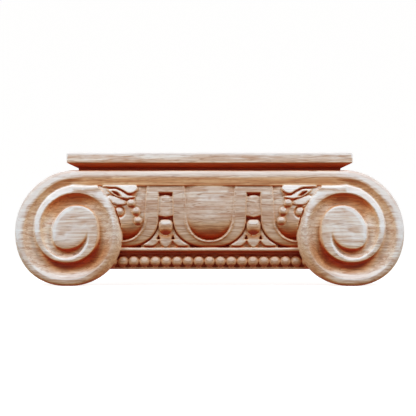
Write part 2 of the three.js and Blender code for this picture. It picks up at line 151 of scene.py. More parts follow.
def lumps(seed, size, shape=U.shape):
    """Soft seeded noise between about -1 and 1, with lumps of a size in millimetres."""
    rng = np.random.default_rng(seed)
    n = [max(int(round(m * STEP / size)) + 3, 4) for m in shape]
    coarse = rng.uniform(-1, 1, n)
    i = [np.linspace(1, k - 2.001, m) for k, m in zip(n, shape)]
    a, b = i[0].astype(int), i[1].astype(int)
    fa, fb = (i[0] - a)[:, None], (i[1] - b)[None, :]
    fa, fb = fa * fa * (3 - 2 * fa), fb * fb * (3 - 2 * fb)
    c00, c10 = coarse[np.ix_(a, b)], coarse[np.ix_(a + 1, b)]
    c01, c11 = coarse[np.ix_(a, b + 1)], coarse[np.ix_(a + 1, b + 1)]
    return (c00 * (1 - fa) + c10 * fa) * (1 - fb) + (c01 * (1 - fa) + c11 * fa) * fb


def edge_drop(inside, radius):
    """How far a rounded edge falls at a distance inside its outline."""
    d = np.clip(radius - inside, 0, radius)
    return radius - np.sqrt(np.maximum(radius * radius - d * d, 0))


# Scrolls and band
def eighths(across_u, up_v):
    """Place round the eye in eighths of a turn, from straight up and away from the middle."""
    return np.mod(np.arctan2(-across_u, up_v) / (2 * np.pi) * TURN, TURN)


du, dv = U - EYE_X, V - EYE_V
radius = np.hypot(du, dv)
place = eighths(du, dv)
rim_places = np.linspace(0, RIM_END, 75)
rim = curve_at(RIM, rim_places)
rim_u = EYE_X - rim * np.sin(rim_places * np.pi / 4)
rim_v = EYE_V + rim * np.cos(rim_places * np.pi / 4)
keep = (rim_v < CHANNEL_V) | (rim_places < 4)
outline = list(zip(rim_u[keep], rim_v[keep]))
outline += [(outline[-1][0], CHANNEL_V), (30, CHANNEL_V), (30, BAND_V)]
scroll_d = outline_distance(outline)


def channel(s, width, crisp=0.0, depth=4.6):
    """Depth of the channel: s is 0 at its steep wall and 1 at its crest."""
    deep = np.minimum(depth, (0.62 + 0.35 * crisp) * width)
    floor = deep * np.clip(1 - s * s, 0, 1) ** (1 - 0.5 * crisp)
    wall = np.minimum(0.9 - 0.3 * crisp, width)
    return np.where(s >= 0, floor, deep * (1 - ramp(-s * width, 0, wall)))


def turn(place_on):
    """Wall, crest and width of the channel at places along the scroll."""
    w, c = curve_at(WALL, place_on), curve_at(CREST, place_on)
    return w, c, np.maximum(c - w, 0.05)


w0, c0, width0 = turn(place)
w1, c1, width1 = turn(np.minimum(place + TURN, CHANNEL_END))
alive = place + TURN < CHANNEL_END
cut0 = channel((radius - w0) / width0, width0, ramp(place, 6.6, 7.9))
cut0 *= np.interp(place, DEPTH_AT, DEPTH)
cut1 = np.where(alive, channel((radius - w1) / width1, width1, 1.0), 0)
cut1 *= 1 - 0.5 * ramp(place, 0.8, 1.8) * (1 - ramp(place, 2.8, 3.8))
cut1 = np.where(radius > c1, 0, cut1)
cut0 = np.where(radius > c0, 0, cut0)

# The outer channel runs on along the band
blend = ramp(U, EYE_X, EYE_X + 9)
wall_v = EYE_V + WALL[0] + (CHANNEL_V - EYE_V - WALL[0]) * blend
crest_v = EYE_V + CREST[0] + (CREST_V - EYE_V - CREST[0]) * blend
band_s = (V - wall_v) / (crest_v - wall_v)
on_band = (U >= EYE_X) & (V > wall_v - 1.4) & (V < crest_v)
band_flat = 1.35 * np.clip(1 - band_s, 0, 1) * ramp(band_s, -0.12, 0.0)
band_cut = channel(band_s, crest_v - wall_v)
cut_band = np.where(on_band, 0.8 * band_cut + (band_flat - 0.8 * band_cut) * blend, 0)

# The ridges fall away from the front, each towards the channel outside it
ridge0 = np.clip((radius - c0) / np.maximum(curve_at(RIM, place) - c0, 1), 0, 1)
ridge1 = np.clip((radius - c1) / np.maximum(w0 - c1, 1), 0, 1) * (radius < w0)
ridge1 *= 1 - ramp(place, 5.5, 7.8)
eye_edge = np.clip((radius - w1 + 2.6) / 2.0, 0, 1) * (radius < w1) * (1 - ramp(place, 4.8, 6))
turned = ramp(place, 4.2, 5.2) * (1 - ramp(place, 6.3, 7.2)) * (V < CHANNEL_V)
upper = np.clip(dv / np.maximum(radius, 1), 0, 1)
fall = np.maximum((0.65 + 0.6 * upper) * ridge1 ** (2 - 0.6 * upper), 0.6 * eye_edge ** 2)
fall = np.maximum(fall, (0.65 + 1.2 * turned) * ridge0 ** 2)
fall = np.where((U > EYE_X) & (V > wall_v - 2), 0.3 * np.clip((V - crest_v) / 3.6, 0, 1), fall)
scroll_h = SCROLL_T - np.maximum(np.maximum(cut0, cut1), cut_band) - blur(fall, 0.6)
scroll_h = blur(scroll_h, 0.27)
band_foot = ramp(U, -68, -62) * ramp(V, 49, 53) * (V < crest_v)
scroll_h -= edge_drop(-scroll_d, (1.9 + 2.8 * turned) * (1 - 0.9 * band_foot))
scroll_h += 0.07 * lumps(3, 5.0) + 0.05 * lumps(4, 2.2)
scroll_h = np.minimum(scroll_h, SCROLL_T)

# The face between the scrolls
share = np.clip((V - ECHINUS_V) / (CHANNEL_V - ECHINUS_V), 0, 1)
face = 19.5 + 5.2 * np.sqrt(np.maximum(1 - (1 - share) ** 2.5, 0))


def u_outline(centre, top_half, half, round_height, foot, top, fullness):
    """Outline of an egg or shell: a full round foot and straight sides up to its top."""
    a = np.linspace(0, np.pi / 2, 22)
    x = half * np.sin(a) ** (2 / fullness)
    y = foot + round_height * (1 - np.cos(a) ** (2 / fullness))
    right = list(zip(centre + x, y)) + [(centre + top_half, top)]
    left = list(zip(centre - x, y)) + [(centre - top_half, top)]
    return right + left[::-1][:-1]


shell_d = V * 0 + 1e3
egg_d = V * 0 + 1e3
egg_h = np.zeros_like(V)
EGG_FOOT, EGG_RH = ECHINUS_V + 3.8, 13.1
axis_v = EGG_FOOT + EGG_RH
for centre in (0, -EGG_PITCH):
    shell = u_outline(centre, 20.6, 19.9, 17.2, ECHINUS_V - 0.3, 58, 2.3)
    shell_d = np.minimum(shell_d, outline_distance(shell))
    egg = u_outline(centre, 13.9, 12.4, EGG_RH, EGG_FOOT, 58, 2.1)
    own_d = outline_distance(egg)
    egg_d = np.minimum(egg_d, own_d)
    half = 12.4 + 1.5 * np.clip((V - axis_v) / (58 - axis_v), 0, 1)
    side = np.abs(U - centre) / half
    down = np.clip((axis_v - V) / EGG_RH, 0, 1.2)
    norm = (side ** 2.1 + down ** 2.1) ** (1 / 2.1)
    lean = np.clip(down / np.maximum(norm, 1e-3), 0, 1)
    drop = 1.2 + 6.3 * lean ** 2
    egg_h = np.where(own_d < 1, 25.15 - drop * np.minimum(norm, 1.1) ** 2.4, egg_h)
strip_d = np.maximum(CHANNEL_V - 3.9 - V, V - 58)
shell_d = np.minimum(shell_d, strip_d)

ground = face - 3.0 - 0.3 * np.exp(-(np.maximum(shell_d, 0) / 0.7) ** 2)
shell_h = face - edge_drop(-shell_d, 0.9)
mid = ground + (shell_h - ground) * ramp(-shell_d, -0.35, 0.25)
rim_line = np.clip(1 - ((egg_d - 0.75) / 0.75) ** 2, 0, 1)
lower = 0.45 + 0.55 * ramp(-V, -axis_v - 4, -axis_v + 3)
mid += 0.75 * rim_line * lower
groove = np.exp(-((egg_d + 0.15) / 0.4) ** 2)
mid = np.where(egg_d < 0, egg_h, mid) - 0.42 * (lower - 0.35) * groove

# Darts
DART_U = -EGG_PITCH / 2
x = U - DART_U
reach = np.abs(x)
top_v = 49.8 - 0.8 * (reach / 3.3) ** 0.9
foot_v = 37.2 + 0.8 * (reach / 3.5) ** 0.8
bar_half = 3.6 + 0.6 * np.clip((50.6 - V) / 12, 0, 1)
bar_d = np.maximum(np.maximum(reach - bar_half, V - top_v), foot_v - V)
bar_h = 23.75 - 0.3 * ramp(reach, 1.6, 3.0) - edge_drop(-bar_d, 0.45) + 0.09 * lumps(11, 0.8)
mid = np.where(bar_d < 0, np.maximum(mid, bar_h), mid)
ball_s = np.clip((36.2 - V) / 8.5, 0, 1)
ball_r = 4.05 * np.interp(ball_s, [0, 0.03, 0.09, 0.2, 0.3, 0.45, 0.6, 0.75, 0.87, 0.96, 1],
                          [0.5, 0.74, 0.87, 0.98, 1.02, 1.02, 0.97, 0.86, 0.7, 0.44, 0.1])
on_ball = (V < 36.2) & (V > 27.7) & (reach < ball_r)
ball_full = 0.4 + 0.5 * np.sqrt(np.clip((V - 27.7) / 6, 0, 1))
ball_h = 21.2 + np.sqrt(np.maximum(ball_r ** 2 - x ** 2, 0)) * ball_full

# Foot of the dart: three lobes with holes and notches
LOW_X = [0, 1.0, 2.1, 3.0, 3.8, 4.5, 5.6, 6.8, 9.9, 12.9, 14]
LOW_V = [20.9, 21.05, 22.0, 23.6, 24.5, 23.5, 22.3, 21.6, 21.4, 21.9, 22.2]
low_v = np.interp(reach, LOW_X, LOW_V)
foot_d = np.maximum(np.maximum(V - 34.5, (low_v - V) * 0.75), 0.45 - shell_d)
foot_d = np.maximum(foot_d, reach - 12.2)
hole_d = outline_distance([(3.15, 25.6), (4.75, 25.6), (3.95, 27.2)], reach, V)
foot_d = np.maximum(foot_d, 0.1 - hole_d)
foot_h = np.maximum(face - 0.7, 22.3) - 0.3 * np.clip(np.abs(reach - 5.3) / 5, 0, 1)
foot_h = foot_h - 1.5 * ramp(V, 28, 34) - edge_drop(-foot_d, 0.6) + 0.07 * lumps(12, 0.9)
foot_mask = ramp(-foot_d, -0.2, 0.2)
mid = np.where((V < 24.6) & (reach < 13.4) & (shell_d > 0.3), np.maximum(mid, 20.2), mid)
mid = np.where(V < 35, mid + (np.maximum(foot_h, mid) - mid) * foot_mask, mid)
hole = ramp(-hole_d, -0.2, 0.3)
mid -= hole * 0.8
beside_ball = np.exp(-(np.maximum(reach - ball_r, 0) / 0.5) ** 2)
mid -= 0.8 * beside_ball * ramp(V, 26.9, 28.6) * ((V < 36.2) & (shell_d > 0.3))
mid = np.where(on_ball, np.maximum(mid, ball_h), mid)


# Corner spray, drawn on a grid with its second axis down
GRID_UNIT, GRID_CENTRE, GRID_FOOT = 1.8325, 211.0, 286
STEM = [(94, 186), (108, 184), (116, 190), (119, 198), (116, 206), (110, 206), (103, 198)]
LENS = [(113.2, 191.4), (118.6, 192.4), (123.2, 196.8), (117.6, 195.6)]
KNOB = (120.8, 212.0)
BERRIES = ((132.6, 203.2, 2.3), (137.4, 211.4, 2.3), (139.4, 220.8, 2.25))

# Each leaf: outline, lift over the face, tilt, level where the tilt starts, and roughness
LEAVES = (
    ([(109, 198), (113, 195.4), (120, 197.6), (125.5, 199.4), (128.4, 202), (127, 204.8),
      (121, 205.4), (114.5, 204)], 0.8, 0.16, 46.5, 0.14),
    ([(109, 190), (117, 188.6), (124, 191.4), (130, 195.2), (136.8, 196.3), (134.5, 198.2),
      (128.5, 199.2), (122, 197.8), (115, 195)], 1.0, 0.2, 51.5, 0),
    ([(104, 187), (110, 184), (124, 183.5), (135, 184), (139, 187.6), (138, 191),
      (133.6, 193.6), (129.6, 193.6), (124, 190.4), (117, 187.8)], 1.2, 0.28, 54.4, 0),
)


def on_front(a, b):
    """Place in millimetres of a point of the grid."""
    return (a - GRID_CENTRE) / GRID_UNIT, (GRID_FOOT - b) / GRID_UNIT


def drawn_distance(points):
    """Signed distance to a smooth outline drawn on the grid."""
    return outline_distance(spline([on_front(a, b) for a, b in points]))


def raised(field, d, top, edge=0.9, moat=0.7, moat_width=0.55):
    """A raised form with a rounded edge and an incised line round it."""
    field = field - moat * np.exp(-(np.maximum(d, 0) / moat_width) ** 2) * (d > -0.1)
    return np.where(d < 0, np.maximum(top - edge_drop(-d, edge), field), field)


mid = raised(mid, drawn_distance(STEM), face + 0.35, 2.2, 0.0)
knob_u, knob_v = on_front(*KNOB)
knob_d = np.hypot(U - knob_u, V - knob_v)
knob_h = face - 0.3 + 0.7 * np.sqrt(np.maximum(KNOB_R ** 2 - knob_d ** 2, 0))
mid = raised(mid, knob_d - KNOB_R, knob_h, 0.2, 1.7, 0.7)
for points, lift, tilt, level, rough in LEAVES:
    leaf_h = face + lift + tilt * (level - V) + rough * lumps(13, 0.9)
    mid = raised(mid, drawn_distance(points), leaf_h, 0.7, 0.7, 0.5)
mid -= 2.4 * ramp(-drawn_distance(LENS), -0.15, 0.55)
for a, b, r in BERRIES:
    berry_u, berry_v = on_front(a, b)
    berry_d = np.hypot(U - berry_u, V - berry_v)
    berry_h = face + 0.1 + np.sqrt(np.maximum(r * r - berry_d * berry_d, 0))
    mid = raised(mid, berry_d - r, berry_h, 0.01, 0.6, 0.4)

# Half-round, cove, beads and neck fillet
half_v = (HALF_ROUND_V + ECHINUS_V) / 2
round_h = NECK_T + 1.4 + np.sqrt(np.maximum(1.25 ** 2 - (V - half_v) ** 2, 0))
mid = np.where(V < ECHINUS_V, round_h, mid)
cove_h = 17.6 - 0.8 * np.exp(-((V - 17.6) / 1.0) ** 2)
mid = np.where(V < HALF_ROUND_V, cove_h, mid)
PITCH = 2 * NECK_HALF / BEADS
bead_u = U - np.round(U / PITCH) * PITCH
bead_q = BEAD_R ** 2 - bead_u ** 2 - ((V - BEAD_V) * 1.04) ** 2
bead_h = 18.5 + np.sqrt(np.maximum(bead_q, 0))
mid = np.where((V < HALF_ROUND_V) & (bead_q > 0), np.maximum(mid, bead_h), mid)
mid = np.where(V < 10.35, np.maximum(mid, NECK_T), mid)
mid = blur(mid, 0.2)
mid += 0.05 * lumps(5, 4.0) + 0.045 * lumps(6, 1.6)
mid = np.where(scroll_d < -0.6, np.minimum(mid, scroll_h - 0.6), mid)


# Solid field: negative inside
def slope(height):
    """How much longer a step along the surface is than on the plan."""
    gu, gv = np.gradient(height, STEP)
    return np.sqrt(1 + np.minimum(gu * gu + gv * gv, 30))


T = ts[None, None, :]


def relief(height, side):
    """Solid under a height map and inside its sides."""
    body = (T - height[:, :, None]) / slope(height)[:, :, None]
    return np.maximum(body, side[:, :, None])


field = relief(scroll_h, scroll_d)
mid_side = np.maximum(np.maximum(-NECK_HALF - U, SEAT_V - V), V - CHANNEL_V - 1)
field = np.minimum(field, relief(mid, mid_side))
core_side = np.maximum(np.maximum(-NECK_HALF - U, CHANNEL_V - 2 - V), V - BAND_V)
field = np.minimum(field, np.maximum(T - CORE_T, core_side[:, :, None]))
INSET_V = [BAND_V - 1, SLOPE_V, SLOPE_V + 0.3, SLOPE_V + 0.75, SLOPE_V + 1.3,
           SLOPE_V + 2.0, FASCIA_V - 0.12, FASCIA_V, 80]
INSET = [ABACUS_INSET, ABACUS_INSET, 5.3, 4.35, 3.25, 1.75, 0.35, 0, 0]
inset = np.interp(V, INSET_V, INSET)
wave = 0.05 * lumps(7, 9.0) - 0.05
abacus_side = -ABACUS_HALF + inset - U
lean_v = np.sqrt(1 + np.gradient(inset, STEP, axis=1) ** 2)
front = T - (ABACUS_T - inset + wave)[:, :, None]
both = smooth_max(front, abacus_side[:, :, None] + 0 * T, 0.7) / lean_v[:, :, None]
levels = np.maximum(BAND_V - 1 - V, V - TOP_V + 0.02)
abacus = smooth_max(both, levels[:, :, None] + 0 * T, 0.6)
field = np.minimum(field, abacus)
seat = np.maximum(np.maximum(-NECK_HALF - U, V - SEAT_V)[:, :, None], T - NECK_T)
field = np.maximum(field, -seat)
field = np.maximum(field, np.maximum(-T, 0.01 - V[:, :, None]))
field = np.concatenate([field, field[-2::-1]], 0).astype(np.float32)
full_u = np.concatenate([us, -us[-2::-1]])


def surface(f, axes):
    """Quads on the zero surface of a field, one point to a cell that the surface crosses."""
    inside = f < 0
    n = [m - 1 for m in f.shape]
    corners = [(a, b, c) for a in (0, 1) for b in (0, 1) for c in (0, 1)]
    count = np.zeros(n, np.uint8)
    for a, b, c in corners:
        count += inside[a:n[0] + a, b:n[1] + b, c:n[2] + c]
    cells = np.argwhere((count > 0) & (count < 8))
    index = np.full(n, -1, np.int32)
    index[tuple(cells.T)] = np.arange(len(cells))
    total = np.zeros((len(cells), 3))
    hits = np.zeros(len(cells))
    for ca in corners:
        for axis in range(3):
            if ca[axis]:
                continue
            cb = tuple(1 if k == axis else ca[k] for k in range(3))
            fa = f[tuple((cells + ca).T)].astype(float)
            fb = f[tuple((cells + cb).T)].astype(float)
            cross = (fa < 0) != (fb < 0)
            s = np.where(cross, fa / np.where(cross, fa - fb, 1), 0)
            for k in range(3):
                a = axes[k][cells[:, k] + ca[k]]
                if k == axis:
                    a = a + s * (axes[k][cells[:, k] + 1] - a)
                total[:, k] += np.where(cross, a, 0)
            hits += cross
    points = total / hits[:, None]
    quads = []
    for axis in range(3):
        b, c = (axis + 1) % 3, (axis + 2) % 3
        lo = [slice(None)] * 3
        hi = [slice(None)] * 3
        lo[axis], hi[axis] = slice(0, -1), slice(1, None)
        change = inside[tuple(lo)] != inside[tuple(hi)]
        e = np.argwhere(change)
        e = e[(e[:, b] > 0) & (e[:, c] > 0) & (e[:, b] < n[b]) & (e[:, c] < n[c])]
        ring = []
        for ob, oc in ((0, 0), (-1, 0), (-1, -1), (0, -1)):
            q = e.copy()
            q[:, b] += ob
            q[:, c] += oc
            ring.append(index[tuple(q.T)])
        ring = np.stack(ring, 1)
        flip = ~inside[tuple(e.T)]
        ring[flip] = ring[flip][:, ::-1]
        quads.append(ring)
    return points, np.concatenate(quads)


points, quads = surface(field, (full_u, vs, ts))
low = np.array(cad_low) * 1000
high = np.array(cad_high) * 1000
verts = np.stack([points[:, 0], high[1] - points[:, 2], points[:, 1]], 1)
verts = np.clip(verts, low, high)

mesh = bpy.data.meshes.new("capital_carved")
mesh.vertices.add(len(verts))
mesh.vertices.foreach_set("co", (verts / 1000).ravel())
mesh.loops.add(len(quads) * 4)
mesh.loops.foreach_set("vertex_index", quads.ravel())
mesh.polygons.add(len(quads))
mesh.polygons.foreach_set("loop_start", np.arange(len(quads)) * 4)
mesh.update(calc_edges=True)
mesh.validate()
carved = bpy.data.objects.new("capital_carved", mesh)
bpy.context.scene.collection.objects.link(carved)


def apply_modifiers(obj):
    """Replace an object's mesh with the one its modifiers give."""
    graph = bpy.context.evaluated_depsgraph_get()
    done = bpy.data.meshes.new_from_object(obj.evaluated_get(graph))
    obj.modifiers.clear()
    old = obj.data
    obj.data = done
    bpy.data.meshes.remove(old)
    done.name = obj.name


TARGET = 188000
fewer = carved.modifiers.new("fewer", "DECIMATE")
fewer.ratio = min(1.0, TARGET / (len(quads) * 2))
fewer.use_collapse_triangulate = True
apply_modifiers(carved)
mesh = carved.data

# Heights of the front, from which the light reaching each point from above and in front is worked out, to be
# painted into the colour as light and shade
heights = np.full(U.shape, -5.0)
heights = np.where(scroll_d < 0, np.maximum(heights, scroll_h), heights)
heights = np.where(mid_side < 0, np.maximum(heights, mid), heights)
heights = np.where(core_side < 0, np.maximum(heights, CORE_T), heights)
on_abacus = (abacus_side < 0) & (V > BAND_V) & (V < TOP_V)
heights = np.where(on_abacus, np.maximum(heights, ABACUS_T - inset), heights)

# The points themselves, held inside the solid's box, with their outward directions
co = np.empty(len(mesh.vertices) * 3)
mesh.vertices.foreach_get("co", co)
co = np.clip(co.reshape(-1, 3) * 1000, low, high)
mesh.vertices.foreach_set("co", (co / 1000).ravel())
no = np.empty(len(mesh.vertices) * 3)
mesh.vertices.foreach_get("normal", no)
no = no.reshape(-1, 3)
pu, pv = -np.abs(co[:, 0]), co[:, 2]
nu = no[:, 0] * np.where(co[:, 0] > 0, -1, 1)
pt = high[1] - co[:, 1]


def height_at(u, v):
    """Height of the front at the nearest point of the grid."""
    i = np.clip(np.rint((-np.abs(u) - us[0]) / STEP).astype(int), 0, len(us) - 1)
    j = np.clip(np.rint((v - vs[0]) / STEP).astype(int), 0, len(vs) - 1)
    return heights[i, j]


def light_from_above_front():
    """Soft light that reaches each point from above and in front, 1 on an open flat."""
    normal = (nu, no[:, 2], -no[:, 1])
    start_u, start_v, start_t = (p + 0.3 * n for p, n in zip((pu, pv, pt), normal))
    aim = (-0.22 * ramp(-pu, 40, 80), np.full(len(pu), 0.78), np.full(len(pu), 0.62))
    length = np.sqrt(sum(k * k for k in aim))
    aim = tuple(k / length for k in aim)
    total, flat, clear = np.zeros(len(pu)), np.zeros(len(pu)), np.zeros(len(pu))
    azimuths = np.arange(20) * np.pi / 10
    for a in azimuths:
        slopes = [(height_at(start_u + d * np.cos(a), start_v + d * np.sin(a)) - start_t) / d
                  for d in (0.4, 0.8, 1.3, 2.0, 3.0, 4.5, 7.0, 10.0)]
        horizon = np.arctan(np.maximum(np.max(slopes, 0), -1.5))
        # Openness to the sky, used for painted shade in creases
        clear += np.cos(np.maximum(horizon, 0)) / len(azimuths)
        for e in np.radians((-40, -15, 5, 20, 35, 50, 65, 80)):
            ray = (np.cos(e) * np.cos(a), np.cos(e) * np.sin(a), np.sin(e))
            widened = math.sqrt(1 - 0.6 * ray[0] ** 2)
            toward = np.clip(sum(r * k for r, k in zip(ray, aim)) / widened, 0, 1)
            light = (0.14 + 0.86 * toward ** 4) * np.cos(e)
            facing = np.clip(sum(r * k for r, k in zip(ray, normal)), 0, 1)
            total += ramp(e - horizon, -0.08, 0.08) * light * facing
            if e > 0:
                flat += light * np.sin(e)
    value = total / flat
    # Surfaces facing the sides get more painted light, as from lamps at the sides
    return value + 0.62 * nu ** 2 * np.clip(1.1 - value, 0, 1), clear


# Light and shade from above and in front, painted into the colour; towards the back it is held even
painted_light, clear = light_from_above_front()
toward_back = ramp(-pt, -17.5, -15.5)
painted_light = painted_light * (1 - toward_back) + toward_back * 0.95


def soft_spot(u, v, wide, high):
    """A soft round patch, 1 at its middle."""
    return np.exp(-((pu - u) / wide) ** 2 - ((pv - v) / high) ** 2)


def between(x, a, b, c, d):
    """Soft band that rises from a to b and falls from c to d."""
    return ramp(x, a, b) * (1 - ramp(x, c, d))


# Painted shade: a brown film over the middle, heavier towards its bottom, and over the beads, the
# half-round, the ball bottoms, the channel floors, the lower rim and limb of each scroll, the top of the rim
# and the band's edge
from_eye = np.hypot(pu - EYE_X, pv - EYE_V)
turned_by = eighths(pu - EYE_X, pv - EYE_V)
wall_r, _, channel_w = turn(turned_by)
across = (from_eye - wall_r) / channel_w
on_scroll = 1 - ramp(from_eye / curve_at(RIM, turned_by), 0.985, 1.01)
middle = (1 - on_scroll) * ramp(pu, -66, -62) * ramp(-pv, -54.5, -53.5)
under_ball = soft_spot(DART_U, 28.6, 3.2, 1.9) * (pt > 21.9)
lower_turn = between(turned_by, 2.7, 3.5, 4.9, 5.7) * on_scroll
turn_floor = lower_turn * np.clip(1 - across, 0, 1) * (across > -0.1)
limb_low = between(turned_by, 4.2, 4.8, 5.3, 6.0) * ramp(across, 0.1, 0.6)
limb_low = limb_low * (1 - 0.75 * ramp(across, 0.9, 1.3)) * on_scroll
rim_low = between(turned_by, 2.8, 3.4, 4.2, 4.8) * ramp(across, 0.9, 1.1) * on_scroll
rim_top = (1 - ramp(turned_by, 1.2, 2.2)) * ramp(across, 1.0, 1.6) * on_scroll * (pv > CHANNEL_V - 22)
in_channel = between(across, -0.2, 0.1, 0.7, 1.1) * on_scroll
band_floor = ramp(pu, -76, -66) * ramp(pv, 54.4, 54.9) * ramp(-pv, -59.6, -58.6)
on_beads = middle * ramp(-pv, -18.5, -16.5)
on_half_round = middle * ramp(pv, 18.4, 18.8) * ramp(-pv, -21.4, -21.0)
band_edge = ramp(pu, -80, -66) * ramp(pv, 59, 59.6) * ramp(-pv, -63.2, -62.8)
under_hole = np.exp(-((np.abs(pu - DART_U) - 3.95) / 1.5) ** 2 - ((pv - 25.4) / 0.5) ** 2)
# Extra painted shade, taken off the painted light: under the balls and holes, on the beads, the channel
# floors and the lower limb of each scroll
extra_shade = 0.03 * on_beads + 0.7 * under_ball + 0.17 * band_floor + 0.3 * under_hole
extra_shade += 0.4 * turn_floor + 0.12 * limb_low
painted_light *= 1 - np.clip(extra_shade, 0, 0.8) * (1 - toward_back)
shade_film = 0.3 * middle * (1 - 0.9 * ramp(pv, 44, 53)) + 0.45 * on_beads + under_ball
shade_film += 0.25 * in_channel + 0.8 * limb_low + 0.25 * rim_low + 0.4 * turn_floor
# More film round each dart, and less on the upper front of each ball as a painted highlight
shade_film += 0.2 * middle * soft_spot(DART_U, 38, 30, 11) - 0.3 * soft_spot(DART_U, 34.5, 4, 2) * (pt > 22.5)
shade_film += 0.15 * on_half_round + 0.2 * rim_top + 0.4 * band_edge
shade_film = np.clip(shade_film, 0, 1) * (1 - toward_back)
clear = clear * (1 - toward_back) + toward_back
ends = np.empty(len(mesh.edges) * 2, np.int32)
mesh.edges.foreach_get("vertices", ends)
ends = ends.reshape(-1, 2)
links = np.bincount(ends.ravel(), minlength=len(pu))


def evened(values):
    """Values averaged twice with those of the points next to them."""
    for _ in range(2):
        near = np.bincount(ends[:, 0], values[ends[:, 1]], len(pu))
        near = near + np.bincount(ends[:, 1], values[ends[:, 0]], len(pu))
        values = 0.5 * values + 0.5 * near / np.maximum(links, 1)
    return values


for name, values in (("painted_light", evened(painted_light)), ("clear", evened(clear)), ("shade_film", evened(shade_film))):
    attribute = mesh.attributes.new(name, "FLOAT", "POINT")
    attribute.data.foreach_set("value", values.astype(np.float32))

mesh.shade_smooth()
mesh.set_sharp_from_angle(angle=math.radians(38))


# Colours of the wood: its two ground tones, then what lies over them: grain marks, a painted highlight and a
# painted shade brown
GROUND = ((0.95, 0.87, 0.82), (0.99, 0.97, 0.96))
RING, STREAK, COMB = (0.66, 0.46, 0.34), (0.50, 0.29, 0.20), (0.60, 0.36, 0.25)
FIBRE, PORE = (0.73, 0.49, 0.36), (0.33, 0.16, 0.09)
HIGHLIGHT_TINT, SHADE_BROWN = (0.86, 0.92, 0.97), (0.68, 0.46, 0.30)

# Painted light and shade: tint by how much light from above and in front reaches a point, from painted shade
# in the deepest hollow to painted highlight on the sharpest edge
PAINTED_LIGHT_TINT = [
    (0.1, (0.82, 0.10, 0.006)), (0.3, (0.68, 0.12, 0.012)), (0.4, (0.73, 0.22, 0.05)),
    (0.47, (0.85, 0.42, 0.17)), (0.56, (0.95, 0.69, 0.41)), (0.65, (0.93, 0.80, 0.61)),
    (0.75, (0.88, 0.88, 0.83)), (0.8, (0.89, 0.93, 0.93)), (0.87, (0.94, 0.98, 1.0)),
    (0.96, (0.80, 0.80, 0.80)),
]


